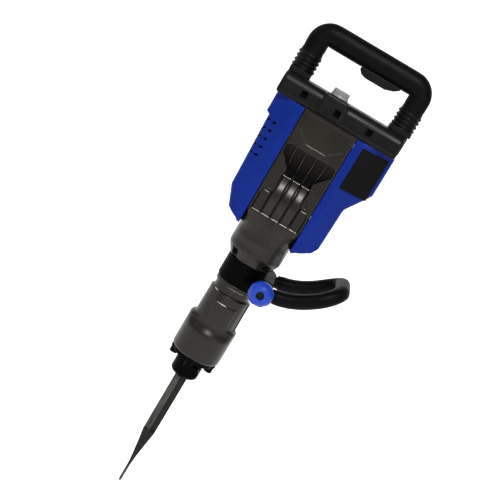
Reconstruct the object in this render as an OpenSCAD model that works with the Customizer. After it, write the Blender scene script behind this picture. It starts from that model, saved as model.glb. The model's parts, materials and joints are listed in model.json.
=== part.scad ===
// Electric jackhammer, 16 kg class, with a flat chisel.
// The tool axis is Z, the chisel's tip is the origin, the rear handle is up, and the front faces -Y.

/* [Chisel] */
// Across the flats of the hexagonal shank
shank_af = 25; // [22:1:26]
// Height of the top of the shank, inside the holder
shank_top = 395; // [392:1:396]
// Height where the blade's taper begins
taper_top = 122; // [100:1:150]
// Height where the taper has come down to the flat blade
taper_end = 41; // [30:1:60]
// Thickness of the flat blade
blade_t = 5.5; // [4:0.5:8]
// Width of the cutting edge
blade_w = 36; // [32:1:40]
// Stroke of the chisel in its holder
chisel_travel = 18; // [10:1:18]

/* [Front end] */
// Height of the mouth of the tool holder
holder_z = 257; // [255:1:260]
// Radius of the tool holder
holder_r = 28; // [26:0.5:28.5]
// Height of the underside of the front cap
cap_z = 306; // [304:1:308]
// Radius of the front cap
cap_r = 50; // [48:1:52]
// Height of the top of the front cap, where the barrel begins
cap_top = 385; // [383:1:388]
// Radius of the lower barrel
barrel_r = 41; // [40:0.5:42]
// Height of the top of the barrel
barrel_top = 517; // [516:1:518]

/* [Side handle] */
// Height of the clamp bolt
clamp_z = 494.5; // [494:0.5:495]
// Distance from the tool axis to the clamp bolt
clamp_x = 48; // [47:1:50]
// Distance from the middle of one arm to the tool axis
arm_y = 58; // [56:1:60]
// Reach of the loop from the clamp bolt to the middle of its far bar
loop_reach = 130; // [126:1:134]
// Radius of the grip
loop_r = 14.5; // [13:0.5:15]
// Tilt of the middle plane of the loop
loop_tilt = 25; // [20:1:30]
// Radius of the clamp knob
knob_r = 25; // [24:1:27]

/* [Body] */
// Half width of the crank housing
housing_hw = 54; // [52:1:55]
// Front face of the crank housing
housing_front = -58; // [-60:1:-56]
// Height of the top of the crank housing and of both shells
body_top = 822; // [820:1:824]
// Height of the underside of the shells
shell_z = 581; // [578:1:584]
// Distance from the axis to the side of the left shell
left_x = 107; // [105:1:109]
// Distance from the axis to the side of the right shell below the bulge
right_x = 100; // [98:1:102]
// Distance from the axis to the side of the bulge over the motor
bulge_x = 133; // [130:1:134]
// Back face of the shells
back_y = 66; // [65:1:68]
// Wall of the plastic shells
wall = 3; // [2.5:0.5:3.5]

/* [Rear handle] */
// Height of the top of the top cover
cover_top = 865; // [863:1:867]
// Distance from the axis to the left leg
left_leg = 96; // [95:1:97]
// Distance from the axis to the right leg
right_leg = 114; // [112:1:115]
// Radius of the handle's tube
grip_r = 22; // [21:0.5:22]
// Height of the middle of the grip
grip_z = 955; // [952:1:958]
// Height of the lower end of the handle's tube
leg_z = 909; // [908:1:910]

/* [Drive] */
// Height of the crankshaft
crank_z = 690; // [690:1:692]
// Throw of the crank
crank_throw = 14; // [12:1:14]
// Height of the wrist pin with the piston at its lowest
wrist_z = 604; // [604:1:605]
// Radius of the cylinder's bore
bore_r = 25; // [24:0.5:25]
// Depth of the motor's axis behind the tool axis
motor_y = 12; // [10:1:12]
// Height of the motor's axis
motor_z = 758; // [757:1:758]

/* [Hidden] */
$fn = 64;

// Lock pin of the tool holder
pin_x = 14.5;
pin_z = 278;
pin_r = 6;
// Radial clearance of a running fit
fit = 0.05;
// Overlap that keeps cutting tools clear of a face
over = 1;
// Gears: teeth, and module of each pair
pinion_teeth = 12;
wheel_teeth = 36;
fast_module = 1.25;
lay_teeth = 13;
crank_teeth = 33;
slow_module = 1.75;
pressure_angle = 25;
flank_gap = 0.12;
fast_centres = fast_module * (pinion_teeth + wheel_teeth) / 2;
slow_centres = slow_module * (lay_teeth + crank_teeth) / 2;
// The layshaft stands where both pairs are in mesh, on the front side of the line of centres
train = sqrt(pow(motor_y, 2) + pow(motor_z - crank_z, 2));
train_angle = atan2(motor_z - crank_z, motor_y);
lay_angle = train_angle + acos((pow(slow_centres, 2) + pow(train, 2) - pow(fast_centres, 2))
  / (2 * slow_centres * train));
lay_y = slow_centres * cos(lay_angle);
lay_z = crank_z + slow_centres * sin(lay_angle);
fast_angle = atan2(motor_z - lay_z, motor_y - lay_y);
// Stations of the drive along X
fast_x = -46;
fast_w = 10;
slow_x = -34;
slow_w = 14;
plate_x = -19.5;
plate_w = 5;
disc_x = -14;
disc_w = 6;
rod_half = 5;
// Ring grooves of the piston, the striker and the impact bolt
piston_grooves = [wrist_z - 25, wrist_z - 20];
striker_grooves = [524, 543];
anvil_grooves = [462, 480];
// Stations of the handle
rod_r = 8;
left_bend = 32;
right_bend = 45;
socket_top = 875;
bush_z = 848;

// ---------- shared shapes ----------

// A round bar along X from x0 to x1
module bar_x(x0, x1, r, y = 0, z = 0) {
  translate([x0, y, z]) rotate([0, 90, 0]) cylinder(h = x1 - x0, r = r);
}

// A round bar along Y from y0 to y1
module bar_y(y0, y1, r, x = 0, z = 0) {
  translate([x, y0, z]) rotate([-90, 0, 0]) cylinder(h = y1 - y0, r = r);
}

// A round bar along Z from z0 to z1
module bar_z(z0, z1, r, x = 0, y = 0) {
  translate([x, y, z0]) cylinder(h = z1 - z0, r = r);
}

// A box between two corners
module block(low, high) {
  translate(low) cube(high - low);
}

// A hexagon across the flats, with its corners on the Y axis
module hexagon(af) {
  rotate(90) circle(r = af / 2 / cos(30), $fn = 6);
}

// A socket head screw along Z, with its head on top and the underside of the head at the origin
module socket_screw(head_r, head_h, shank_r, length) {
  difference() {
    union() {
      cylinder(h = head_h, r = head_r);
      translate([0, 0, -length]) cylinder(h = length + over, r = shank_r);
    }
    translate([0, 0, head_h * 0.45]) cylinder(h = head_h, r = head_r * 0.5, $fn = 6);
  }
}

// A ring along Z
module ring(r_in, r_out, h) {
  difference() {
    cylinder(h = h, r = r_out);
    translate([0, 0, -over]) cylinder(h = h + 2 * over, r = r_in);
  }
}

// A ring along X, with its first face at x0
module ring_x(x0, w, r_in, r_out, y, z) {
  translate([x0, y, z]) rotate([0, 90, 0]) ring(r_in, r_out, w);
}

// A rectangle with round corners, as exact arcs
module round_rect(x0, x1, y0, y1, r) {
  translate([x0 + r, y0]) square([x1 - x0 - 2 * r, y1 - y0]);
  translate([x0, y0 + r]) square([x1 - x0, y1 - y0 - 2 * r]);
  for (x = [x0 + r, x1 - r], y = [y0 + r, y1 - r]) translate([x, y]) circle(r = r);
}

// Point of a gear's involute at radius r, turned back by the half thickness at the pitch circle
function involute(r, base) = let (a = acos(min(1, base / r))) tan(a) * 180 / PI - a;
function tooth_half(teeth, m, r) = let (
    pitch = teeth * m / 2,
    base = pitch * cos(pressure_angle),
    half = 90 / teeth - flank_gap / pitch * 180 / PI
  ) half + involute(pitch, base) - involute(max(r, base), base);
function gear_points(teeth, m) = let (
    pitch = teeth * m / 2,
    root = pitch - 1.3 * m,
    tip = pitch + 0.9 * m,
    steps = 4,
    radii = [for (i = [0:steps]) max(root, pitch * cos(pressure_angle))
      + (tip - max(root, pitch * cos(pressure_angle))) * i / steps]
  ) [for (t = [0:teeth - 1]) each concat(
      [let (a = t * 360 / teeth - tooth_half(teeth, m, root)) root * [cos(a), sin(a)]],
      [for (r = radii) let (a = t * 360 / teeth - tooth_half(teeth, m, r)) r * [cos(a), sin(a)]],
      [for (i = [steps:-1:0]) let (
        r = radii[i], a = t * 360 / teeth + tooth_half(teeth, m, r)) r * [cos(a), sin(a)]],
      [let (a = t * 360 / teeth + tooth_half(teeth, m, root)) root * [cos(a), sin(a)]]
    )];

// A spur gear that turns about X; its first tooth points at the angle start, from +Y towards +Z
module spur_gear(teeth, m, x0, w, y, z, start) {
  translate([x0, y, z]) rotate([90, 0, 90]) rotate(start)
    linear_extrude(w) polygon(gear_points(teeth, m));
}

// A coil spring along Z, swept as one closed solid
module coil_spring(r, wire, h, turns) {
  sides = 8;
  rings = turns * 16;
  points = [for (i = [0:rings]) let (a = i * 360 / 16, z = wire + (h - 2 * wire) * i / rings)
    for (k = [0:sides - 1]) let (b = k * 360 / sides, q = r + wire * cos(b))
      [q * cos(a), q * sin(a), z + wire * sin(b)]];
  faces = concat(
    [[for (k = [0:sides - 1]) k]],
    [for (i = [0:rings - 1], k = [0:sides - 1]) let (n = (k + 1) % sides)
      [i * sides + k, (i + 1) * sides + k, (i + 1) * sides + n, i * sides + n]],
    [[for (k = [sides - 1:-1:0]) rings * sides + k]]
  );
  polyhedron(points, faces);
}

// ---------- chisel and tool holder ----------

// Half thickness of the blade at a height: thin below, then a slightly hollow taper
function blade_half(z) = let (u = (z - taper_end) / (taper_top - taper_end))
  z <= taper_end ? blade_t / 2 : blade_t / 2 + (shank_af - blade_t) / 2 * pow(u, 1.25);

module chisel() {
  steps = 12;
  edge = 2.1;
  bevel = 5;
  rise = [for (i = [0:steps]) taper_end + (taper_top - taper_end) * i / steps];
  color("#4a4640") difference() {
    union() {
      translate([0, 0, taper_top - 0.01]) linear_extrude(shank_top - taper_top) hexagon(shank_af);
      intersection() {
        rotate([90, 0, 0]) linear_extrude(2 * blade_w, center = true) polygon(concat(
          [[-edge, 0], [-blade_t / 2, bevel]], [for (z = rise) [-blade_half(z), z]],
          [for (i = [steps:-1:0]) [blade_half(rise[i]), rise[i]]], [[blade_t / 2, bevel], [edge, 0]]));
        rotate([90, 0, 90]) linear_extrude(2 * blade_w, center = true) polygon([
          [-blade_w / 2, 0], [-blade_w / 2, 46], [-shank_af / 2 / cos(30), taper_top],
          [shank_af / 2 / cos(30), taper_top], [blade_w / 2, 46], [blade_w / 2, 0]]);
        union() {
          linear_extrude(taper_end) square(2 * blade_w, center = true);
          linear_extrude(taper_top) hexagon(shank_af + 14);
        }
      }
    }
    // Notch that the lock pin holds
    block([8.2, -shank_af, pin_z - pin_r - chisel_travel - 0.5], [shank_af, shank_af, pin_z + pin_r + 0.5]);
    // Bevel round the top of the shank
    translate([0, 0, shank_top - 4]) difference() {
      cylinder(h = 5, r = shank_af);
      cylinder(h = 5, r1 = 15.5, r2 = 11);
    }
  }
}

module tool_sleeve() {
  color("#1b1b1c") difference() {
    union() {
      translate([0, 0, holder_z]) cylinder(h = 4, r1 = holder_r - 3, r2 = holder_r);
      bar_z(holder_z + 4, cap_z, holder_r);
      bar_z(cap_z, cap_z + 66, holder_r + 1.7);
      // Bosses of the lock pin
      bar_y(-holder_r - 3, holder_r, pin_r + 5, pin_x, pin_z);
    }
    translate([0, 0, holder_z - over]) linear_extrude(130) hexagon(shank_af + 0.8);
    bar_y(-holder_r - 1, holder_r + 2, pin_r + fit, pin_x, pin_z);
    // Wrench flats on both sides
    for (side = [-1, 1]) block([-13, min(side * 25, side * 40), holder_z - over],
      [0, max(side * 25, side * 40), holder_z + 20]);
  }
}

module dust_seal() {
  color("#141414") translate([0, 0, holder_z - 4]) rotate_extrude() polygon([
    [15.4, 0], [18, 0], [20.5, 4], [15.4, 4]]);
}

module holder_plate() {
  color("#1d1d1e") difference() {
    union() {
      bar_z(cap_z - 10, cap_z, 43);
      for (a = [0:90:270]) rotate(a) {
        bar_z(cap_z - 10, cap_z, 9.5, 38.5);
        block([0, -9.5, cap_z - 10], [38.5, 9.5, cap_z]);
      }
    }
    bar_z(cap_z - 10 - over, cap_z + over, holder_r + 0.1);
    for (a = [0:90:270]) rotate(a) bar_z(cap_z - 10 - over, cap_z + over, 5.1, 38.5);
  }
}

module cap_bolts() {
  color("#161617") for (a = [0:90:270]) rotate(a) translate([38.5, 0, cap_z - 10])
    mirror([0, 0, 1]) socket_screw(8, 11, 5, 34);
}

module retainer_pin() {
  color("#232325") difference() {
    union() {
      bar_y(-holder_r - 1, holder_r + 9, pin_r, pin_x, pin_z);
      bar_y(holder_r + 2.5, holder_r + 9, pin_r + 2, pin_x, pin_z);
      block([pin_x - 24, holder_r + 2.5, pin_z - 5], [pin_x, holder_r + 9, pin_z + 5]);
      bar_y(holder_r + 2.5, holder_r + 9, 5, pin_x - 24, pin_z);
    }
    // Flat that frees the chisel after half a turn
    block([pin_x + 1.2, -16, pin_z - 8], [pin_x + 8, 16, pin_z + 8]);
  }
}

// ---------- front cap and barrel ----------

module front_cap() {
  color("#3b3933") difference() {
    rotate_extrude() polygon([
      [29.8, cap_z], [cap_r - 9, cap_z], [cap_r - 4, cap_z + 2], [cap_r - 1, cap_z + 6],
      [cap_r, cap_z + 11], [cap_r, cap_top - 7], [barrel_r + 2, cap_top], [29.8, cap_top]]);
    // Sloped face under the barrel's front pad
    translate([0, -cap_r, cap_top - 26]) rotate([-15, 0, 0]) block([-60, -30, 0], [60, 0, 60]);
    for (a = [0:90:270]) rotate(a) bar_z(cap_z - over, cap_z + 26, 5.1, 38.5);
  }
}

// Height of the small set screw over the pad
screw_z = 437;

module barrel() {
  neck_r = barrel_r - 3.5;
  section_top = 446;
  pad_top = 428;
  color("#3b3933") difference() {
    union() {
      rotate_extrude() polygon([
        [16, cap_top], [barrel_r, cap_top], [barrel_r, section_top],
        [neck_r, section_top + 2], [neck_r, 461],
        [barrel_r - 1, 462], [barrel_r - 1, 470], [37, 471], [37, barrel_top], [30.1, barrel_top],
        [30.1, 505], [20.05, 505], [20.05, 446], [16, 446]]);
      // Front pad, wider where it runs into the cap
      intersection() {
        block([-15, -60, cap_top], [27, 0, pad_top]);
        bar_z(cap_top, pad_top, barrel_r + 3.5);
      }
      // Side rib
      block([barrel_r - 6, -6, cap_top], [barrel_r + 2.5, 6, section_top]);
    }
    bar_z(cap_top - over, 450, 16);
    bar_z(446, 506, 20 + fit);
    bar_z(505, barrel_top + over, 30.1);
    bar_y(-60, -30, 3.6, -14, screw_z);
  }
}

module barrel_screw() {
  color("#8a857a") translate([-14, -39.5, screw_z]) rotate([90, 0, 0]) difference() {
    translate([0, 0, -8]) cylinder(h = 9, r = 3.5);
    translate([0, 0, -1]) cylinder(h = 3, r = 1.8, $fn = 6);
  }
}

// ---------- side handle ----------

// How far each hub reaches from the middle of its arm towards the band's ear
hub_inner = 14.2;

module clamp_band() {
  z0 = clamp_z - 22;
  ear_y = arm_y - hub_inner - 0.6;
  color("#151516") difference() {
    union() {
      bar_z(z0, z0 + 44, 42);
      block([30, -ear_y, clamp_z - 17], [clamp_x + 12, ear_y, clamp_z + 17]);
      bar_y(-ear_y, ear_y, 17, clamp_x, clamp_z);
    }
    bar_z(z0 - over, z0 + 44 + over, 37 + fit);
    bar_y(-60, 60, 5.2, clamp_x, clamp_z);
    // The gap that the bolt closes
    block([30, -1.5, z0 - over], [clamp_x + 20, 1.5, z0 + 44 + over]);
    // Relief of the ears beside the barrel
    for (side = [-1, 1]) block([30, side > 0 ? 32 : -50, z0 - over],
      [37, side > 0 ? 50 : -32, z0 + 50]);
  }
}

module clamp_bolt() {
  head = arm_y + 10.5;
  color("#6b6a66") {
    bar_y(-arm_y - 30, head + 1, 5, clamp_x, clamp_z);
    translate([clamp_x, head, clamp_z]) rotate([-90, 0, 0]) cylinder(h = 8, r = 9.8, $fn = 6);
  }
}

module clamp_knob() {
  color("#2b49c4") translate([clamp_x, -arm_y - 10.6, clamp_z]) rotate([90, 0, 0]) difference() {
    rotate_extrude() polygon([
      [0, 0], [14, 0], [14, 3], [knob_r - 2, 5], [knob_r, 8], [knob_r, 17], [knob_r - 3, 23],
      [17, 27], [0, 28]]);
    translate([0, 0, -over]) cylinder(h = 22, r = 5 + fit);
    translate([0, 0, 22]) cylinder(h = 10, r = 8, $fn = 6);
    for (a = [0:45:315]) rotate(a) translate([knob_r + 9, 0, 4]) cylinder(h = 30, r = 11);
  }
}

// Height of the arms over the clamp bolt, at a distance from it: straight at first, then bowed up
arm_slope = 0.1;
arm_start = 19;
function bow(u) = arm_slope * u + 0.0045 * pow(max(0, u - arm_start), 2);
// The loop's middle line, from u0 along the arm at -Y, over the far bar and back to u0 at +Y
loop_bend = 30;
loop_steps = 10;
function half_loop(u0) = let (u1 = loop_reach - loop_bend) concat(
  [for (i = [0:loop_steps - 1]) [u0 + (u1 - u0) * i / loop_steps, -arm_y]],
  [for (a = [0:15:90]) [u1 + loop_bend * sin(a), -arm_y + loop_bend * (1 - cos(a))]]
);
function loop_line(u0) = let (half = half_loop(u0)) [
  for (p = concat(half, [for (i = [len(half) - 1:-1:0]) [half[i][0], -half[i][1]]]))
    [clamp_x + p[0], p[1], clamp_z + bow(p[0])]
];

// One ring of points round each point of a line that lies near the tilted plane of the loop
function unit(v) = v / norm(v);
function loop_rings(line, r, sides) = let (
    last = len(line) - 1,
    plane = [-sin(loop_tilt), 0, cos(loop_tilt)]
  ) [for (i = [0:last]) let (
      along = unit(line[min(i + 1, last)] - line[max(i - 1, 0)]),
      up = unit(plane - (plane * along) * along),
      out = cross(up, along)
    ) for (k = [0:sides - 1]) let (b = k * 360 / sides) line[i] + r * (cos(b) * out + sin(b) * up)];

// A round bar along the loop; with an inner radius it is a tube
module loop_bar(u0, r, r_in = 0) {
  sides = 20;
  line = loop_line(u0);
  last = len(line) - 1;
  count = sides * (last + 1);
  skin = [for (i = [0:last - 1], k = [0:sides - 1]) let (n = (k + 1) % sides)
    [i * sides + k, (i + 1) * sides + k, (i + 1) * sides + n, i * sides + n]];
  if (r_in == 0) {
    polyhedron(loop_rings(line, r, sides), concat(skin, [[for (k = [0:sides - 1]) k]],
      [[for (k = [sides - 1:-1:0]) last * sides + k]]));
  } else {
    inner = [for (f = skin) [count + f[3], count + f[2], count + f[1], count + f[0]]];
    ends = [for (k = [0:sides - 1]) let (n = (k + 1) % sides, e = last * sides) each [
      [k, n, count + n, count + k], [e + n, e + k, count + e + k, count + e + n]]];
    polyhedron(concat(loop_rings(line, r, sides), loop_rings(line, r_in, sides)),
      concat(skin, inner, ends));
  }
}

module side_handle_frame() {
  color("#19191a") for (side = [-1, 1]) translate([clamp_x, side * arm_y, clamp_z]) difference() {
    union() {
      bar_y(side > 0 ? -hub_inner : -10, side > 0 ? 10 : hub_inner, 16);
      rotate([0, -atan(arm_slope), 0]) bar_x(0, arm_start, 9.4);
    }
    bar_y(-20, 20, 5 + fit);
    // Seat of the steel core
    rotate([0, -atan(arm_slope), 0]) bar_x(8, arm_start + 3, 6.3);
  }
}

module side_handle_core() {
  color("#77756f") loop_bar(10, 6);
}

module side_handle_grip() {
  color("#101011") loop_bar(20, loop_r, 6.2);
}

// ---------- crank housing ----------

// Front view of the dark recess: narrow over the bars, wide above, narrow under the panel
module recess_outline() {
  polygon([[-22, 697], [-24, 712], [-48, 738], [-48, 752], [-20, 767], [20, 767], [48, 752],
    [48, 738], [24, 712], [22, 697]]);
}

module crank_housing() {
  bar_pitch = 19.4;
  bar_half = 8.4;
  cavity_front = housing_front + 15;
  color("#3b3933") difference() {
    union() {
      translate([0, 0, barrel_top]) cylinder(h = 22, r1 = 41, r2 = housing_hw);
      bar_z(barrel_top + 22, 621, housing_hw);
      translate([0, 0, 585]) linear_extrude(body_top - 585)
        round_rect(-housing_hw, housing_hw, housing_front + 3, 58, 16);
      translate([0, 0, 770]) linear_extrude(body_top - 770)
        round_rect(-46, 46, housing_front, 40, 14);
      // Cooling bars: five low ones, of which the middle three rise further
      for (i = [-2:2]) translate([i * bar_pitch, housing_front + 4, 623]) {
        translate([-bar_half, -4, 0]) cube([2 * bar_half, 12, abs(i) == 2 ? 34 : 66]);
        translate([0, 8, abs(i) == 2 ? 34 : 66]) intersection() {
          translate([-bar_half, -12, -12]) cube([2 * bar_half, 24, 24]);
          rotate([0, 90, 0]) cylinder(h = 40, r = 12, center = true);
        }
      }
    }
    // Bore of the liner, and the hollow for the crank and the motor
    bar_z(barrel_top - over, 600, 30.1);
    translate([0, 0, 599]) linear_extrude(body_top - 599 + over)
      round_rect(-housing_hw + 5, housing_hw - 5, cavity_front, 52, 4);
    // Recess over the bars
    translate([0, housing_front + 8, 0]) rotate([90, 0, 0]) linear_extrude(20) difference() {
      recess_outline();
      for (x = [-28.5:19:28.5]) translate([x - 1.2, 690]) square([2.4, 90]);
    }
    translate([0, housing_front + 3, 0]) rotate([90, 0, 0]) linear_extrude(20) recess_outline();
    // Groove under the top edge
    block([-44, housing_front - over, 814], [44, housing_front + 1.5, 817]);
    // Notches of the housing bolts
    for (a = [45:90:315]) rotate(a) block([39, -8, barrel_top - over], [60, 8, barrel_top + 18]);
    for (a = [45:90:315]) rotate(a) bar_z(barrel_top, 575, 4.1, 46.5);
    // Seats in the side walls: motor, armature bearing, crankshaft and layshaft
    bar_x(housing_hw - 6, housing_hw + over, 37.3, motor_y, motor_z);
    bar_x(-housing_hw - over, -housing_hw + 6, 14.1, motor_y, motor_z);
    bar_x(-housing_hw + 2, -housing_hw + 6, 9 + fit, 0, crank_z);
    bar_x(-housing_hw + 2, -housing_hw + 6, 5 + fit, lay_y, lay_z);
  }
}

module housing_bolts() {
  color("#161617") for (a = [45:90:315]) rotate(a) translate([46.5, 0, barrel_top + 18])
    mirror([0, 0, 1]) socket_screw(6.5, 10, 4, 34);
}

// ---------- blue shells and covers ----------

// Plan of both shells: a front that slopes back to each side, and a round back; t is the inset
function front_slope(x, t) = -54 + t + max(0, (abs(x) - 68) * 0.56);
module plan_outline(t) {
  polygon(concat(
    [[-54 + 2 * t, -54 + t], [54 - 2 * t, -54 + t], [68, front_slope(68, t * 1.15)],
      [bulge_x - t - 4, front_slope(bulge_x - t - 4, t * 1.15)],
      [bulge_x - t, front_slope(bulge_x, t) + 6]],
    [for (a = [0:15:90]) [bulge_x - 26 - t + 26 * cos(a), back_y - 26 - t + 26 * sin(a)]],
    [for (a = [90:15:180]) [-left_x - 7 + 24 + t + 24 * cos(a), back_y - 24 - t + 24 * sin(a)]],
    [[-left_x - 7 + t, front_slope(left_x + 7, t) + 6],
      [-left_x - 3 + t, front_slope(left_x + 3 - t, t * 1.15)],
      [-68, front_slope(68, t * 1.15)]]
  ));
}

// Front view of the left shell, as its outer side
module left_outline(t) {
  polygon([[0, shell_z + t], [-64, shell_z + t], [-84 + t / 2, shell_z + 14 + t], [-98 + t, 621],
    [-left_x + t, 779 + t], [-left_x - 7 + t, 779 + t], [-left_x - 7 + t, body_top], [0, body_top]]);
}

// Front view of the right shell, with the bulge over the motor
module right_outline(t) {
  polygon([[0, shell_z + t], [64, shell_z + t], [88 - t / 2, shell_z + 12 + t], [97 - t, 606 + t / 2],
    [right_x - t, 697 + t / 2], [bulge_x - 5 - t / 2, 735 + t], [bulge_x - t, 743 + t],
    [bulge_x - t, body_top], [0, body_top]]);
}

module shell_solid(side, t) {
  intersection() {
    rotate([90, 0, 0]) linear_extrude(300, center = true) {
      if (side < 0) left_outline(t);
      else right_outline(t);
    }
    translate([0, 0, 500]) linear_extrude(body_top - 500) plan_outline(t);
  }
}

module shell(side) {
  difference() {
    shell_solid(side, 0);
    difference() {
      shell_solid(side, wall);
      // Screw bosses inside the back
      for (z = [640, 800]) bar_y(42, 80, 7.5, side * 62.5, z);
    }
    // The crank housing fills the front, the panel the back
    block([-housing_hw - 0.2, -80, 500], [housing_hw + 0.2, 58.2, 900]);
    block([-42, 50, 500], [42, 90, 900]);
    for (z = [640, 800]) {
      bar_y(back_y - 6, 80, 5, side * 62.5, z);
      bar_y(40, 80, 1.8, side * 62.5, z);
    }
    bar_z(500, shell_z + 5, housing_hw + 0.2);
  }
}

module left_shell() {
  vent_w = 12;
  color("#1a2f8f") difference() {
    shell(-1);
    for (i = [0:4], column = [0, 1]) translate([-98 + column * 15, -70, 700 + i * 16])
      rotate([0, -12, 0]) cube([vent_w, 60, 7]);
    for (i = [0:4]) block([-left_x - 10, -8, 700 + i * 16], [-left_x + 15, 30, 707 + i * 16]);
  }
}

module right_shell() {
  color("#1a2f8f") difference() {
    shell(1);
    for (i = [0:3]) block([bulge_x - 10, 5, 752 + i * 14], [bulge_x + 5, 40, 758 + i * 14]);
  }
}

module name_plate() {
  lift = 1.4;
  gap = 0.1;
  left = 71;
  right = bulge_x - 8;
  color("#0d0d0e") translate([0, 0, 730]) linear_extrude(83) polygon([
    [left, front_slope(left, -gap)], [right, front_slope(right, -gap)],
    [right + lift * 0.5, front_slope(right, -gap - lift)], [left, front_slope(left, -gap - lift)]]);
}

module shell_screws() {
  color("#2a2a2c") for (side = [-1, 1], z = [640, 800])
    translate([side * 62.5, back_y - 6, z]) rotate([-90, 0, 0]) socket_screw(4.2, 3, 1.7, 17);
  color("#6b6a66") for (x = [-34, 34], z = [620, 805])
    translate([x, back_y + 1, z]) rotate([-90, 0, 0]) socket_screw(4, 2.6, 2, 9);
}

module rear_cover() {
  color("#1b1b1c") difference() {
    block([-41.7, back_y - 3, 606], [41.7, back_y + 1, body_top - 0.5]);
    for (i = [0:6]) block([-26, back_y - 5, 700 + i * 13], [26, back_y + 5, 706 + i * 13]);
    for (x = [-34, 34], z = [620, 805]) bar_y(back_y - 5, back_y + 5, 2.2, x, z);
  }
}

// ---------- top cover ----------

// Side view of the top cover; t is the inset
module cover_section(t) {
  front = -47 + t;
  back = 62 - t;
  top = cover_top - t;
  r = 26;
  polygon(concat(
    [[back, body_top], [front, body_top]],
    [for (a = [180:-15:90]) [front + r + r * cos(a), top - r + r * sin(a)]],
    [for (a = [90:-15:0]) [back - r + r * cos(a), top - r + r * sin(a)]]
  ));
}

screw_places = [-68, 0, 66];

module cover_shell(x0, x1, t) {
  translate([x0, 0, 0]) rotate([90, 0, 90]) linear_extrude(x1 - x0) cover_section(t);
}

module top_cover() {
  color("#1f1f21") difference() {
    union() {
      cover_shell(-left_x - 7, 129, 0);
      // Boss of the speed dial
      translate([-12.5, -27, body_top]) linear_extrude(cover_top + 1 - body_top)
        round_rect(-23.5, 23.5, -22, 22, 7);
      // Feet of the handle's sockets
      block([-left_leg - 21, -25, body_top + 8], [-left_leg + 21, 25, cover_top + 1]);
      block([right_leg - 23, -25, body_top + 8], [right_leg + 18, 25, cover_top + 1]);
    }
    difference() {
      cover_shell(-left_x - 4, 126, wall);
      for (x = screw_places) bar_y(-60, -12, 7, x, 841);
      bar_z(body_top, cover_top, 8, -12, -28);
      for (x = [-left_leg, right_leg]) bar_z(845, cover_top, 13, x);
    }
    for (x = screw_places) {
      block([x - 6.5, -60, 834.5], [x + 6.5, -38, 847.5]);
      bar_y(-60, -10, 2, x, 841);
    }
    bar_z(cover_top - 12, cover_top + 5, 4 + fit, -12, -28);
    for (x = [-left_leg, right_leg]) bar_z(body_top - over, cover_top + 5, 11 + fit, x);
    // Row of small slots beside the dial
    for (i = [0:4]) block([26 + i * 5.5, -24, 850], [29 + i * 5.5, -8, cover_top + 5]);
    bar_y(50, 70, 9.1, -60, 842);
  }
}

module top_cover_screws() {
  color("#101011") for (x = screw_places)
    translate([x, -38, 841]) rotate([90, 0, 0]) socket_screw(5.5, 4.5, 1.9, 24);
}

module speed_dial() {
  color("#b9bab8") translate([-12, -28, cover_top + 1.4]) difference() {
    union() {
      translate([0, 0, -12]) cylinder(h = 13, r = 4);
      cylinder(h = 5, r = 17);
      translate([0, 0, 5]) cylinder(h = 9, r1 = 15, r2 = 14);
    }
    for (a = [0:20:340]) rotate(a) translate([16, 0, 5.5]) cylinder(h = 10, r = 1.6);
  }
}

module control_board() {
  color("#1e6b3a") block([-58, -20, 826], [58, 28, 828]);
  color("#2b2b2c") {
    block([-46, -8, 828], [-26, 14, 840]);
    block([20, -10, 828], [46, 8, 838]);
  }
  color("#2b2b2c") bar_z(828, 842, 7, 2, 14);
}

module cord_gland() {
  color("#0f0f10") translate([-60, 56, 842]) rotate([-90, 0, 0]) difference() {
    union() {
      cylinder(h = 6, r = 9);
      translate([0, 0, 6]) cylinder(h = 4, r = 11.5);
      translate([0, 0, 10]) cylinder(h = 24, r1 = 9, r2 = 6.5);
    }
    translate([0, 0, -over]) cylinder(h = 40, r = 4.6);
    for (i = [0:3]) translate([0, 0, 13 + i * 5]) rotate([0, 0, 90 * (i % 2)])
      for (side = [-1, 1]) translate([side * 9, 0, 0]) cube([6, 20, 1.8], center = true);
  }
}

// ---------- rear handle ----------

// Both sockets; the right leg's one is a little wider outwards
module handle_sockets() {
  color("#1a1a1b") for (side = [-1, 1]) translate([side < 0 ? -left_leg : right_leg, 0, 0]) difference() {
    union() {
      translate([0, 0, cover_top + 1]) linear_extrude(socket_top - cover_top - 1)
        round_rect(side < 0 ? -21 : -23, 21, -25, 25, 6);
      bar_z(socket_top, socket_top + 3, 17.5);
    }
    bar_z(cover_top, socket_top + 5, 11 + fit);
  }
}

// One bellows with four folds between its socket and the handle's leg
module bellows(x) {
  folds = 4;
  z0 = socket_top + 0.1;
  h = leg_z - 0.1 - z0;
  pitch = (h - 4) / folds;
  translate([x, 0, z0]) rotate_extrude() polygon(concat(
    [[17.8, 0], [22, 0], [22, 2]],
    [for (i = [0:folds - 1]) each [[19.8, 2 + pitch * (i + 0.15)], [23, 2 + pitch * (i + 0.6)]]],
    [[20.5, h - 2], [20.5, h], [17.8, h]],
    [for (i = [folds - 1:-1:0]) each [[20.8, 2 + pitch * (i + 0.6)], [17.8, 2 + pitch * (i + 0.15)]]]
  ));
}

module left_bellows() {
  color("#0e0e0f") bellows(-left_leg);
}

module right_bellows() {
  color("#0e0e0f") bellows(right_leg);
}

module guide_rods() {
  color("#a9a9a6") for (x = [-left_leg, right_leg]) bar_z(bush_z - 2, leg_z + 16, rod_r, x);
}

module guide_bushes() {
  color("#a07a3c") for (x = [-left_leg, right_leg])
    translate([x, 0, bush_z]) ring(rod_r + fit, 11, socket_top + 3 - bush_z);
}

module handle_springs() {
  color("#8d8d8a") for (x = [-left_leg, right_leg])
    translate([x, 0, socket_top + 3.2]) coil_spring(13, 1.3, leg_z - socket_top - 3.4, 4);
}

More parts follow.
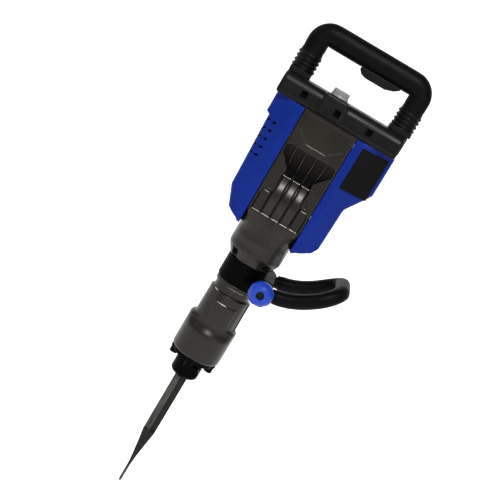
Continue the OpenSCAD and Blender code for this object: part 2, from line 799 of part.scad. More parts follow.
// The handle's round tube, from leg to leg
module handle_tube(r) {
  left_end = grip_z - left_bend;
  right_end = grip_z - right_bend;
  bar_z(leg_z, left_end, r, -left_leg);
  bar_z(leg_z, right_end, r, right_leg);
  translate([-left_leg + left_bend, 0, left_end]) rotate([90, 0, 0]) rotate([0, 0, 90])
    rotate_extrude(angle = 90) translate([left_bend, 0]) circle(r = r);
  translate([right_leg - right_bend, 0, right_end]) rotate([90, 0, 0])
    rotate_extrude(angle = 90) translate([right_bend, 0]) circle(r = r);
  bar_x(-left_leg + left_bend, right_leg - right_bend, r, 0, grip_z);
}

trigger_x0 = -6;
trigger_x1 = 76;

module handle_half(side) {
  difference() {
    handle_tube(grip_r);
    difference() {
      handle_tube(grip_r - 4);
      // Plugs that hold the guide rods
      for (x = [-left_leg, right_leg]) bar_z(leg_z - over, leg_z + 18, grip_r, x);
      // Screw posts
      for (x = [-48, 30, 88]) bar_y(-grip_r, grip_r, 4, x, grip_z + (x == 88 ? -14 : 12));
    }
    for (x = [-left_leg, right_leg]) bar_z(leg_z - over, leg_z + 16, rod_r, x);
    block([-200, side > 0 ? -60 : 0, 800], [200, side > 0 ? 0 : 60, 1100]);
    block([trigger_x0 - 0.6, -9.6, grip_z - 40], [trigger_x1 + 0.6, 9.6, grip_z - 8]);
    for (x = [-48, 30, 88]) bar_y(-14, 40, 1.6, x, grip_z + (x == 88 ? -14 : 12));
    for (x = [-48, 30, 88]) bar_y(grip_r - 8, 40, 3.6, x, grip_z + (x == 88 ? -14 : 12));
  }
}

module handle_front_half() {
  color("#121213") handle_half(-1);
}

module handle_rear_half() {
  color("#121213") handle_half(1);
}

module handle_screws() {
  color("#6b6a66") for (x = [-48, 30, 88])
    translate([x, grip_r - 8, grip_z + (x == 88 ? -14 : 12)])
      rotate([-90, 0, 0]) socket_screw(3.4, 2.6, 1.5, 24);
}

module trigger() {
  low = grip_z - grip_r - 14;
  color("#0c0c0d") {
    translate([0, 0, low]) rotate([90, 0, 0]) linear_extrude(18, center = true) polygon([
      [trigger_x0, 17], [trigger_x0, 10], [trigger_x0 + 6, 3], [trigger_x0 + 16, 0],
      [trigger_x1 - 26, 0], [trigger_x1 - 10, 5], [trigger_x1, 12], [trigger_x1, 17]]);
    block([trigger_x0 + 8, -5, low + 16], [trigger_x0 + 20, 5, low + 22]);
  }
}

module trigger_switch() {
  color("#26282b") {
    block([trigger_x0 + 2, -8, grip_z - 7], [trigger_x0 + 44, 8, grip_z + 7]);
    block([trigger_x0 + 10, -4, grip_z - 8.5], [trigger_x0 + 18, 4, grip_z - 6]);
  }
}

// ---------- motor ----------

module motor_case() {
  color("#2a2a2c") difference() {
    union() {
      bar_x(-10, 100, 37, motor_y, motor_z);
      bar_x(98, 112, 17, motor_y, motor_z);
    }
    bar_x(-10 - over, 96, 34.1, motor_y, motor_z);
    bar_x(95, 110, 13.1, motor_y, motor_z);
    // Openings beside the brushes
    for (a = [0, 180]) translate([0, motor_y, motor_z]) rotate([a, 0, 0])
      block([66, -12, 20], [88, 12, 50]);
  }
}

module stator() {
  color("#7d7b76") difference() {
    bar_x(-8, 58, 34, motor_y, motor_z);
    bar_x(-10, 60, 22, motor_y, motor_z);
    for (a = [90, 270]) translate([0, motor_y, motor_z]) rotate([a, 0, 0])
      block([-12, -9, 18], [62, 9, 29]);
  }
}

module brush_holders() {
  color("#9a7b3a") for (a = [0, 180]) translate([77, motor_y, motor_z]) rotate([a, 0, 0]) difference() {
    block([-7, -8, 17.5], [7, 8, 40]);
    block([-4.1, -5.1, 16], [4.1, 5.1, 38]);
  }
}

module brushes() {
  color("#3a3a3c") for (a = [0, 180]) translate([77, motor_y, motor_z]) rotate([a, 0, 0])
    block([-4, -5, 15.3], [4, 5, 32]);
}

// Rings at both ends of the armature, and in the bearing plate
module bearings() {
  color("#a9a9a6") {
    ring_x(-housing_hw, 5.5, 6 + fit, 14, motor_y, motor_z);
    ring_x(97, 9, 6 + fit, 13, motor_y, motor_z);
    ring_x(plate_x, plate_w, 9 + fit, 16, 0, crank_z);
    ring_x(plate_x, plate_w, 5 + fit, 9.5, lay_y, lay_z);
  }
}

module armature_shaft() {
  color("#9a9994") {
    bar_x(-86, 108, 6, motor_y, motor_z);
    spur_gear(pinion_teeth, fast_module, fast_x, fast_w, motor_y, motor_z, fast_angle + 180);
  }
}

module armature_core() {
  color("#6d5a3c") translate([-4, motor_y, motor_z]) rotate([0, 90, 0]) difference() {
    cylinder(h = 58, r = 21);
    translate([0, 0, -over]) cylinder(h = 60, r = 6);
    for (a = [0:30:330]) rotate(a) translate([15, -1.5, -over]) cube([8, 3, 60]);
  }
}

module commutator() {
  color("#b3703a") translate([66, motor_y, motor_z]) rotate([0, 90, 0]) difference() {
    cylinder(h = 22, r = 15);
    translate([0, 0, -over]) cylinder(h = 24, r = 6);
    for (a = [0:15:345]) rotate(a) translate([13.5, -0.4, -over]) cube([3, 0.8, 24]);
  }
}

module fan() {
  blades = 9;
  color("#202022") translate([-84, motor_y, motor_z]) rotate([0, 90, 0]) difference() {
    union() {
      cylinder(h = 20, r = 11);
      translate([0, 0, 17]) cylinder(h = 3, r = 35);
      for (i = [0:blades - 1]) rotate(i * 360 / blades) translate([0, -1.2, 0]) cube([34, 2.4, 18]);
    }
    translate([0, 0, -over]) cylinder(h = 22, r = 6);
  }
}

// ---------- crank drive ----------

module layshaft_gears() {
  color("#8f8e89") {
    bar_x(-housing_hw + 2.5, -14.6, 5, lay_y, lay_z);
    // A gap of the wheel faces the motor's pinion
    spur_gear(wheel_teeth, fast_module, fast_x, fast_w, lay_y, lay_z, fast_angle + 180 / wheel_teeth);
    // A tooth of the small wheel faces the crank gear
    spur_gear(lay_teeth, slow_module, slow_x, slow_w, lay_y, lay_z, lay_angle + 180);
  }
}

module crank_gear() {
  color("#84837e") difference() {
    spur_gear(crank_teeth, slow_module, slow_x, slow_w, 0, crank_z, lay_angle + 180 / crank_teeth);
    bar_x(slow_x - over, slow_x + slow_w + over, 9, 0, crank_z);
  }
}

module crankshaft() {
  color("#979690") {
    bar_x(-housing_hw + 2.5, disc_x + over, 9, 0, crank_z);
    bar_x(disc_x, disc_x + disc_w, 24, 0, crank_z);
    // The pin stops just short of the rod's big end, where the closed linkage is opened
    bar_x(disc_x + disc_w - over, -rod_half - 0.5, 7, 0, crank_z - crank_throw);
  }
}

module bearing_plate() {
  color("#5c5a54") difference() {
    block([plate_x, -42, 664], [plate_x + plate_w, 51, 752]);
    bar_x(plate_x - over, plate_x + plate_w + over, 16.1, 0, crank_z);
    bar_x(plate_x - over, plate_x + plate_w + over, 9.6, lay_y, lay_z);
    for (y = [-36, 45], z = [672, 742]) bar_x(plate_x - over, plate_x + plate_w + over, 2.6, y, z);
    bar_x(plate_x - over, plate_x + plate_w + over, 12, motor_y, motor_z);
  }
}

module connecting_rod() {
  pin_top = crank_z - crank_throw;
  color("#8b8a85") difference() {
    union() {
      bar_x(-rod_half, rod_half, 11, 0, wrist_z);
      bar_x(-rod_half, rod_half, 13, 0, pin_top);
      block([-3.5, -7, wrist_z], [3.5, 7, pin_top]);
    }
    bar_x(-rod_half - over, rod_half + over, 6 + fit, 0, wrist_z);
    bar_x(-rod_half - over, rod_half + over, 7.3, 0, pin_top);
  }
}

module wrist_pin() {
  color("#b5b4af") bar_x(-20, 20, 6, 0, wrist_z);
}

module piston() {
  top = wrist_z + 14;
  color("#a3a29d") difference() {
    bar_z(wrist_z - 28, top, bore_r - fit);
    block([-rod_half - 0.6, -20, wrist_z - 13], [rod_half + 0.6, 20, top + over]);
    bar_x(-20, 20, 6, 0, wrist_z);
    for (z = piston_grooves) translate([0, 0, z]) ring(bore_r - 2, bore_r + 2, 2.2);
  }
}

module piston_rings() {
  color("#1a1a1a") for (z = piston_grooves) translate([0, 0, z]) ring(bore_r - 2, bore_r - 0.02, 2.2);
}

module cylinder_liner() {
  color("#8c8b86") difference() {
    bar_z(505.1, 652, 30);
    bar_z(500, 660, bore_r);
    for (a = [0:60:300]) rotate(a) translate([0, 0, 540]) rotate([90, 0, 0]) cylinder(h = 40, r = 2.5);
  }
}

module striker() {
  color("#9c9b95") difference() {
    union() {
      bar_z(516, 552, bore_r - fit);
      translate([0, 0, 506]) cylinder(h = 10.5, r1 = 10, r2 = 13);
    }
    for (z = striker_grooves) translate([0, 0, z]) ring(bore_r - 2.2, bore_r + 2, 2.6);
  }
}

module striker_rings() {
  color("#1a1a1a") for (z = striker_grooves) translate([0, 0, z]) ring(bore_r - 2.2, bore_r - 0.02, 2.6);
}

module impact_bolt() {
  color("#93928d") difference() {
    union() {
      bar_z(shank_top + chisel_travel + 3, 450, 15.7);
      bar_z(449, 494, 20);
    }
    for (z = anvil_grooves) translate([0, 0, z]) ring(18, 22, 2.6);
  }
}

module impact_seals() {
  color("#1a1a1a") for (z = anvil_grooves) translate([0, 0, z]) ring(18, 20.02, 2.6);
}

// ---------- placing ----------

chisel();
tool_sleeve();
dust_seal();
holder_plate();
cap_bolts();
retainer_pin();
front_cap();
barrel();
barrel_screw();
clamp_band();
clamp_bolt();
clamp_knob();
side_handle_frame();
side_handle_core();
side_handle_grip();
crank_housing();
housing_bolts();
left_shell();
right_shell();
name_plate();
shell_screws();
rear_cover();
top_cover();
top_cover_screws();
speed_dial();
handle_sockets();
left_bellows();
right_bellows();
guide_rods();
guide_bushes();
handle_springs();
handle_front_half();
handle_rear_half();
handle_screws();
trigger();
trigger_switch();
control_board();
cord_gland();
motor_case();
stator();
brush_holders();
brushes();
bearings();
armature_shaft();
armature_core();
commutator();
fan();
layshaft_gears();
crank_gear();
crankshaft();
bearing_plate();
connecting_rod();
wrist_pin();
piston();
piston_rings();
cylinder_liner();
striker();
striker_rings();
impact_bolt();
impact_seals();
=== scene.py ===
"""Electric jackhammer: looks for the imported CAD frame, in metres, +Z along the tool axis, front at -Y."""
import json
import math

import bmesh
import bpy
import numpy as np
from mathutils import Matrix, Vector


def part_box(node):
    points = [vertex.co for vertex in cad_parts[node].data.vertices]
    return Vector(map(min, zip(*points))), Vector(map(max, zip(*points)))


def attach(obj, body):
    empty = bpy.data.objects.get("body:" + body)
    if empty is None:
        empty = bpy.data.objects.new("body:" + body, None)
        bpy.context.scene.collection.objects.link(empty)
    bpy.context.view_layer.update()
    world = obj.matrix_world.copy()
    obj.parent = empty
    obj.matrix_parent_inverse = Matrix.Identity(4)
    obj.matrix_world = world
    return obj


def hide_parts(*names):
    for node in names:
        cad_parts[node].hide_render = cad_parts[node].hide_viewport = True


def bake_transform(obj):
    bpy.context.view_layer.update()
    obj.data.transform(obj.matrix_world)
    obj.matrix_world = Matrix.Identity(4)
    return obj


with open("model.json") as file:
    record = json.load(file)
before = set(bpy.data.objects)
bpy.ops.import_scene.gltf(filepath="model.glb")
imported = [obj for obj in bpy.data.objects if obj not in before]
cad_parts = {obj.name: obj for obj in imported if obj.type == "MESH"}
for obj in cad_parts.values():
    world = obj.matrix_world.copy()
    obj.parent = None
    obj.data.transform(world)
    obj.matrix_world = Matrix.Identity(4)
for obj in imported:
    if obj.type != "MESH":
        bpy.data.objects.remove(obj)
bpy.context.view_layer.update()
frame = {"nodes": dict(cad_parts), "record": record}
NODE_SLOT = {part["node"]: part["material_slot"] for part in frame["record"]["subparts"]}
NODE_BODY = {n: b for b, nodes in frame["record"]["behaviour"]["bodies"].items() for n in nodes}
MM = 0.001


# ---------- places taken from the frame, in millimetres ----------

def low(node):
    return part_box(node)[0] / MM


def high(node):
    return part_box(node)[1] / MM


CAP_Z, CAP_TOP = low("front_cap").z, high("front_cap").z
CAP_R = high("front_cap").x
BARREL_TOP = high("barrel").z
BODY_TOP = high("crank_housing").z
HOUSING_HW = high("crank_housing").x
FRONT_Y = low("crank_housing").y
SHELL_Z = low("left_shell").z
LEFT_X, RIGHT_X = -low("left_shell").x, high("right_shell").x
BACK_Y = high("left_shell").y
COVER_LEFT = low("top_cover").x
LEFT_LEG = (low("left_bellows").x + high("left_bellows").x) / 2
RIGHT_LEG = (low("right_bellows").x + high("right_bellows").x) / 2
LEG_Z = low("handle_front_half").z
GRIP_R = -low("handle_front_half").y
GRIP_Z = high("handle_front_half").z - GRIP_R
SOCKET_TOP = low("left_bellows").z
CLAMP_Z = (low("clamp_band").z + high("clamp_band").z) / 2
CLAMP_X = (low("clamp_knob").x + high("clamp_knob").x) / 2
KNOB_R = (high("clamp_knob").z - low("clamp_knob").z) / 2
KNOB_BACK, KNOB_FRONT = high("clamp_knob").y, low("clamp_knob").y


# ---------- materials ----------

def link(tree, source, target):
    tree.links.new(source, target)


def noise_node(tree, coords, scale, detail=4.0, rough=0.55):
    node = tree.nodes.new("ShaderNodeTexNoise")
    node.inputs["Scale"].default_value = scale
    node.inputs["Detail"].default_value = detail
    node.inputs["Roughness"].default_value = rough
    link(tree, coords, node.inputs["Vector"])
    return node.outputs["Fac"]


def ramp(tree, value, stops):
    """Colour ramp from (position, colour) stops."""
    node = tree.nodes.new("ShaderNodeValToRGB")
    while len(node.color_ramp.elements) < len(stops):
        node.color_ramp.elements.new(0.5)
    for element, (place, colour) in zip(node.color_ramp.elements, stops):
        element.position = place
        element.color = (*colour, 1.0)
    link(tree, value, node.inputs["Fac"])
    return node.outputs["Color"]


def spread(tree, value, low_out, high_out):
    node = tree.nodes.new("ShaderNodeMapRange")
    node.inputs["From Min"].default_value = 0.3
    node.inputs["From Max"].default_value = 0.7
    node.inputs["To Min"].default_value = low_out
    node.inputs["To Max"].default_value = high_out
    link(tree, value, node.inputs["Value"])
    return node.outputs["Result"]


def mix(tree, fac, a, b):
    node = tree.nodes.new("ShaderNodeMix")
    node.data_type = "RGBA"
    link(tree, fac, node.inputs[0])
    link(tree, a, node.inputs[6])
    if isinstance(b, tuple):
        node.inputs[7].default_value = (*b, 1.0)
    else:
        link(tree, b, node.inputs[7])
    return node.outputs[2]


def shade(colour, k):
    return tuple(min(1.0, c * k) for c in colour)


WEAR_STARTS, WEAR_FULL = 0.53, 0.59  # pointiness of an edge


def material(name, colour, rough, metallic=0.0, mottle=0.25, blotch=18.0, grain=900.0, bump=0.1,
             depth=0.0002, wear=None, stretch=None, dots=None, specular=0.5, fade=None):
    """Moulded or cast surface: blotchy colour, grain in the bump, uneven gloss, and wear on the edges.

    fade = (z0, z1, colour) changes the colour towards another one from height z0 to z1, in metres.
    """
    mat = bpy.data.materials.new(name)
    mat.use_nodes = True
    tree = mat.node_tree
    shader = tree.nodes["Principled BSDF"]
    shader.inputs["Metallic"].default_value = metallic
    shader.inputs["Specular IOR Level"].default_value = specular
    coords = tree.nodes.new("ShaderNodeTexCoord").outputs["Object"]
    if stretch:
        mapping = tree.nodes.new("ShaderNodeMapping")
        mapping.inputs["Scale"].default_value = stretch
        link(tree, coords, mapping.inputs["Vector"])
        coords = mapping.outputs["Vector"]
    large = noise_node(tree, coords, blotch)
    fine = noise_node(tree, coords, grain, 6.0, 0.6)
    base = ramp(tree, large, [(0.3, shade(colour, 1 - mottle)), (0.7, shade(colour, 1 + mottle))])
    if fade:
        split = tree.nodes.new("ShaderNodeSeparateXYZ")
        link(tree, coords, split.inputs["Vector"])
        along = tree.nodes.new("ShaderNodeMapRange")
        along.inputs["From Min"].default_value = fade[0]
        along.inputs["From Max"].default_value = fade[1]
        link(tree, split.outputs["Z"], along.inputs["Value"])
        base = mix(tree, along.outputs["Result"], base, fade[2])
    if wear:
        edge = tree.nodes.new("ShaderNodeNewGeometry").outputs["Pointiness"]
        edge_fac = ramp(tree, edge, [(WEAR_STARTS, (0, 0, 0)), (WEAR_FULL, (1, 1, 1))])
        patchy = tree.nodes.new("ShaderNodeMath")
        patchy.operation = "MULTIPLY"
        link(tree, edge_fac, patchy.inputs[0])
        link(tree, spread(tree, noise_node(tree, coords, 120.0), 0.0, 0.8), patchy.inputs[1])
        base = mix(tree, patchy.outputs[0], base, wear)
    link(tree, base, shader.inputs["Base Color"])
    link(tree, spread(tree, large, rough - 0.06, rough + 0.06), shader.inputs["Roughness"])
    height = fine
    if dots:
        cells = tree.nodes.new("ShaderNodeTexVoronoi")
        cells.inputs["Scale"].default_value = dots
        link(tree, coords, cells.inputs["Vector"])
        height = cells.outputs["Distance"]
    relief = tree.nodes.new("ShaderNodeBump")
    relief.inputs["Strength"].default_value = bump
    relief.inputs["Distance"].default_value = depth
    link(tree, height, relief.inputs["Height"])
    link(tree, relief.outputs["Normal"], shader.inputs["Normal"])
    return mat


def make_materials():
    steel_wear = (0.45, 0.43, 0.40)
    return {
        "cast_metal": material("cast_metal", (0.0098, 0.0084, 0.0060), 0.30, 0.20, 0.14, 14, 700, 0.35,
                               0.0003, wear=(0.11, 0.10, 0.088), specular=0.20),
        # painted shade for the housing's front recess: nearly black low down, fading towards the cast colour
        # at the recess's top edge
        "cast_painted_shade": material("cast_painted_shade", (0.0007, 0.0006, 0.0005), 0.6, 0.0, 0.2, 14, 700, 0.35, 0.0003,
                              wear=(0.05, 0.047, 0.042), specular=0.04,
                              fade=(0.716, 0.772, (0.0088, 0.0076, 0.0056))),
        # painted highlight: light gray for thin strips on ledges and edges where the key light glints
        "cast_painted_highlight": material("cast_painted_highlight", (0.36, 0.34, 0.30), 0.38, 0.4, 0.2, 60, 700, 0.3, 0.0002),
        "blue_plastic": material("blue_plastic", (0.0016, 0.0105, 0.112), 0.34, 0.0, 0.10, 9, 1400, 0.22,
                                 0.0002, wear=(0.010, 0.038, 0.28), specular=0.07),
        "knob_blue": material("knob_blue", (0.005, 0.026, 0.235), 0.32, 0.0, 0.10, 30, 1200, 0.15, 0.0002,
                              wear=(0.04, 0.10, 0.6), specular=0.2),
        "black_plastic": material("black_plastic", (0.0020, 0.0020, 0.0022), 0.40, 0.0, 0.2, 25, 1500,
                                  0.3, 0.0002, wear=(0.010, 0.010, 0.011), specular=0.11),
        "rubber": material("rubber", (0.0014, 0.0014, 0.0016), 0.42, 0.0, 0.25, 25, 900, 0.35, 0.0003,
                           specular=0.09),
        "grip_rubber": material("grip_rubber", (0.0010, 0.0010, 0.0012), 0.46, 0.0, 0.2, 25, 900, 0.45,
                                0.0005, dots=420.0, specular=0.045),
        "dial_gray": material("dial_gray", (0.105, 0.107, 0.106), 0.42, 0.0, 0.12, 60, 1200, 0.2, 0.0002,
                              wear=(0.3, 0.3, 0.3), specular=0.3),
        "black_steel": material("black_steel", (0.0006, 0.0006, 0.0006), 0.42, 0.0, 0.3, 40, 900, 0.25,
                                0.0002, wear=(0.008, 0.0077, 0.0072), specular=0.02),
        "tool_steel": material("tool_steel", (0.0098, 0.0093, 0.0086), 0.60, 0.0, 0.22, 30, 500, 0.4,
                               0.0003, wear=(0.09, 0.086, 0.08), stretch=(1, 1, 0.25), specular=0.08),
        "bright_steel": material("bright_steel", (0.50, 0.49, 0.47), 0.25, 1.0, 0.08, 40, 900, 0.1),
        "gear_steel": material("gear_steel", (0.30, 0.29, 0.28), 0.32, 1.0, 0.12, 40, 900, 0.15,
                               wear=steel_wear),
        "bronze": material("bronze", (0.42, 0.26, 0.10), 0.35, 1.0, 0.12, 50, 800, 0.15),
        "copper": material("copper", (0.50, 0.20, 0.09), 0.34, 1.0, 0.15, 60, 800, 0.15),
        "carbon": material("carbon", (0.03, 0.03, 0.033), 0.5, 0.0, 0.15, 60, 900, 0.2),
        "laminate": material("laminate", (0.26, 0.25, 0.24), 0.45, 0.9, 0.1, 60, 700, 0.4,
                             stretch=(14, 1, 1)),
        "board_green": material("board_green", (0.02, 0.12, 0.05), 0.35, 0.0, 0.2, 150, 900, 0.1),
        "plate_black": material("plate_black", (0.0012, 0.0012, 0.0013), 0.36, 0.0, 0.1, 25, 1500, 0.05,
                                specular=0.05),
    }


# ---------- mesh tools ----------

def new_object(name, mesh):
    obj = bpy.data.objects.new(name, mesh)
    bpy.context.scene.collection.objects.link(obj)
    return obj


def smooth(obj, angle=38):
    obj.data.shade_smooth()
    obj.data.set_sharp_from_angle(angle=math.radians(angle))
    return obj


def mesh_from(name, points, faces, angle=38):
    """Object from points in millimetres and faces, with outward normals."""
    mesh = bpy.data.meshes.new(name)
    mesh.from_pydata([tuple(p) for p in np.asarray(points) * MM], [], faces)
    bm = bmesh.new()
    bm.from_mesh(mesh)
    bmesh.ops.remove_doubles(bm, verts=bm.verts, dist=2e-6)
    bmesh.ops.recalc_face_normals(bm, faces=bm.faces)
    bm.to_mesh(mesh)
    bm.free()
    return smooth(new_object(name, mesh), angle)


def loft(name, rings, caps=True, angle=38):
    """Closed skin over rings of the same number of points."""
    rings = np.asarray(rings, float)
    rows, count = rings.shape[:2]
    points = rings.reshape(-1, 3).tolist()
    faces = []
    for i in range(rows - 1):
        here, above = i * count, (i + 1) * count
        faces += [(here + k, here + (k + 1) % count, above + (k + 1) % count, above + k)
                  for k in range(count)]
    if caps:
        faces += [tuple(range(count)), tuple((rows - 1) * count + k for k in reversed(range(count)))]
    return mesh_from(name, points, faces, angle)


def fillet(corners, radii, steps=6):
    """Outline through 2D corners, each rounded by an arc of its radius; the ends stay as they are."""
    corners = [np.array(c, float) for c in corners]
    line = []
    for i, (corner, radius) in enumerate(zip(corners, radii)):
        if radius <= 0:
            line.append(corner)
            continue
        before = corners[i - 1] - corner
        after = corners[(i + 1) % len(corners)] - corner
        before_len, after_len = np.linalg.norm(before), np.linalg.norm(after)
        before, after = before / before_len, after / after_len
        half = math.acos(max(-1.0, min(1.0, float(before @ after)))) / 2
        reach = min(radius / max(math.tan(half), 1e-6), 0.48 * before_len, 0.48 * after_len)
        radius = reach * math.tan(half)
        middle = before + after
        centre = corner + middle / np.linalg.norm(middle) * radius / math.sin(half)
        a0 = math.atan2(*(corner + before * reach - centre)[::-1])
        a1 = math.atan2(*(corner + after * reach - centre)[::-1])
        turn = (a1 - a0 + math.pi) % (2 * math.pi) - math.pi
        for k in range(steps + 1):
            a = a0 + turn * k / steps
            line.append(centre + radius * np.array([math.cos(a), math.sin(a)]))
    return np.array(line)


def refine_line(line, step):
    """The same open line with no stretch longer than step."""
    out = [line[0]]
    for a, b in zip(line[:-1], line[1:]):
        n = max(1, int(math.ceil(np.linalg.norm(b - a) / step)))
        out += [a + (b - a) * k / n for k in range(1, n + 1)]
    return np.array(out)


def directions(path):
    """Unit vector along a path at each of its points."""
    along = np.gradient(path, axis=0)
    return along / np.linalg.norm(along, axis=1)[:, None]


def from_ends(path):
    """How far each point of a path is from its nearer end."""
    travelled = np.concatenate([[0], np.cumsum(np.linalg.norm(np.diff(path, axis=0), axis=1))])
    return np.minimum(travelled, travelled[-1] - travelled)


def revolve(name, profile, centre, axis="Z", segments=96, ripple=None, angle=38):
    """Turns (radius, height) points about the Z axis through centre, or about Y with the height towards -Y.

    ripple(angle, height) scales the radius.
    """
    angles = np.arange(segments) * 2 * math.pi / segments
    rings = []
    for radius, height in profile:
        r = max(radius, 0.001) * (np.array([ripple(a, height) for a in angles]) if ripple else 1.0)
        u, v, w = r * np.cos(angles), r * np.sin(angles), np.full(segments, float(height))
        rings.append(np.stack([u, v, w] if axis == "Z" else [u, -w, v], 1))
    return loft(name, np.array(rings) + np.array(centre), angle=angle)


def smoothstep(a, b, v):
    t = np.clip((np.asarray(v, float) - a) / (b - a), 0, 1)
    return t * t * (3 - 2 * t)


def inside(polygon, x, z, soft):
    """1 inside a polygon, 0 outside, with a soft band of that width across its edge."""
    p = np.array(polygon, float)
    q = np.roll(p, -1, 0)
    distance = np.full(np.shape(x), 1e9)
    odd = np.zeros(np.shape(x), bool)
    for (ax, az), (bx, bz) in zip(p, q):
        ex, ez = bx - ax, bz - az
        t = np.clip(((x - ax) * ex + (z - az) * ez) / (ex * ex + ez * ez), 0, 1)
        distance = np.minimum(distance, np.hypot(x - ax - t * ex, z - az - t * ez))
        crosses = ((az > z) != (bz > z)) & (x < (bx - ax) * (z - az) / (bz - az + 1e-12) + ax)
        odd ^= crosses
    return smoothstep(-soft / 2, soft / 2, np.where(odd, distance, -distance))


def even_shading(obj):
    """Weighs the normals by face area, so long thin faces don't show."""
    mod = obj.modifiers.new("normals", "WEIGHTED_NORMAL")
    mod.keep_sharp = True
    return apply_modifiers(obj)


def boolean(obj, cutters, operation="DIFFERENCE"):
    """Cuts or joins closed meshes, and deletes the cutters."""
    for cutter in cutters:
        mod = obj.modifiers.new("cut", "BOOLEAN")
        mod.operation = operation
        mod.solver = "MANIFOLD"
        mod.object = cutter
    apply_modifiers(obj)
    for cutter in cutters:
        bpy.data.objects.remove(cutter)
    return even_shading(smooth(obj))


def apply_modifiers(obj):
    bpy.context.view_layer.update()
    evaluated = obj.evaluated_get(bpy.context.evaluated_depsgraph_get())
    mesh = bpy.data.meshes.new_from_object(evaluated)
    obj.modifiers.clear()
    obj.data = mesh
    return obj


def block(low_corner, high_corner, turn=None, bevel=0.0):
    """Box between two corners in millimetres, turned about its own middle and with round edges."""
    lo, hi = np.array(low_corner, float), np.array(high_corner, float)
    mesh = bpy.data.meshes.new("block")
    bm = bmesh.new()
    bmesh.ops.create_cube(bm, size=1.0)
    bmesh.ops.scale(bm, vec=Vector((hi - lo) * MM), verts=bm.verts)
    if bevel:
        bmesh.ops.bevel(bm, geom=bm.edges, offset=bevel * MM, segments=3, profile=0.5, affect="EDGES")
    if turn:
        bmesh.ops.rotate(bm, matrix=turn, verts=bm.verts)
    bmesh.ops.translate(bm, vec=Vector((lo + hi) / 2 * MM), verts=bm.verts)
    bm.to_mesh(mesh)
    bm.free()
    return smooth(new_object("block", mesh))


def place(obj, *nodes, mat=None, blend=None):
    """Rides on the body of its first node, or with a blend is baked where it stands; stands for all of them,
    and takes the finish of that node unless mat is given.
    """
    slot = NODE_SLOT[nodes[0]]
    obj.data.materials.clear()
    obj.data.materials.append(MATERIALS[mat or slot])
    if blend:
        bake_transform(obj)
    else:
        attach(obj, NODE_BODY[nodes[0]])
    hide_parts(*nodes)
    return obj


def refined(node, bevel=0.6, segments=2, mat=None, blend=None):
    """A copy of a CAD node with joined facets and round edges."""
    mesh = frame["nodes"][node].data.copy()
    bm = bmesh.new()
    bm.from_mesh(mesh)
    bmesh.ops.remove_doubles(bm, verts=bm.verts, dist=1e-5)
    bm.to_mesh(mesh)
    bm.free()
    obj = new_object(node + "_fine", mesh)
    mod = obj.modifiers.new("edges", "BEVEL")
    mod.width = bevel * MM
    mod.segments = segments
    mod.limit_method = "ANGLE"
    mod.angle_limit = math.radians(32)
    mod.use_clamp_overlap = True
    mod.miter_outer = "MITER_ARC"
    apply_modifiers(obj)
    return place(even_shading(smooth(obj, 30)), node, mat=mat, blend=blend)


# ---------- barrel and cap ----------

def radial_rings(z_values, radius, count):
    """Rings of a body whose radius depends on angle and height; angle 0 is +X, -90 degrees the front."""
    angles = np.arange(count) * 2 * math.pi / count
    a, z = np.meshgrid(angles, np.array(z_values))
    r = radius(a, z)
    return np.stack([r * np.cos(a), r * np.sin(a), z], 2)


BARREL_R = 42
PAD_TOP, SECTION_TOP, COLLAR_Z = 428.6, 446.0, 461.0  # the collar is below the clamp band
SET_SCREW_Z = (low("barrel_screw").z + high("barrel_screw").z) / 2


def barrel_radius(a, z):
    """Thick section, neck and collar, with a raised pad in front, a rib on the right and a screw seat."""
    profile = [(CAP_TOP - 20, 42.4), (SECTION_TOP - 0.5, 41.6), (SECTION_TOP + 0.8, 40.4),
               (SECTION_TOP + 2.2, 37.0), (COLLAR_Z, 37.0), (COLLAR_Z + 0.8, 38.9), (COLLAR_Z + 2, 40.6),
               (COLLAR_Z + 8, 40.6), (COLLAR_Z + 9.4, 39.4), (COLLAR_Z + 10.4, 36.8), (BARREL_TOP + 1, 36.8)]
    r = np.interp(z, *zip(*profile))
    x, y = BARREL_R * np.cos(a), BARREL_R * np.sin(a)
    pad = smoothstep(-16.5, -14, x) * smoothstep(28.5, 26, x) * (y < 0)
    pad = pad * smoothstep(PAD_TOP + 0.9, PAD_TOP - 1.2, z)
    r = r + pad * (2.1 - 1.3 * smoothstep(CAP_TOP + 44, CAP_TOP, z))
    rib = smoothstep(8.6, 6.6, np.abs(y)) * (x > 0) * smoothstep(SECTION_TOP, SECTION_TOP - 1.4, z)
    r = r + rib * 2.2
    seat = np.hypot(x + 14, z - SET_SCREW_Z) + 100 * (y > 0)
    return r - 1.2 * smoothstep(5.2, 4.4, seat)


def cap_radius(a, z):
    """Rounded cap, with a sloped cut across its front under the barrel's pad."""
    corners = [(40, CAP_Z), (CAP_R, CAP_Z + 0.01), (CAP_R, CAP_TOP - 5), (43, CAP_TOP)]
    line = fillet(corners, [0, 11, 5, 0], 10)
    r = np.interp(z, line[:, 1], line[:, 0])
    cone = CAP_R - 7.2 * smoothstep(CAP_TOP - 27, CAP_TOP - 7, z)
    front = smoothstep(0.3, 0.85, -np.sin(a))
    return r + front * np.minimum(cone - r, 0)


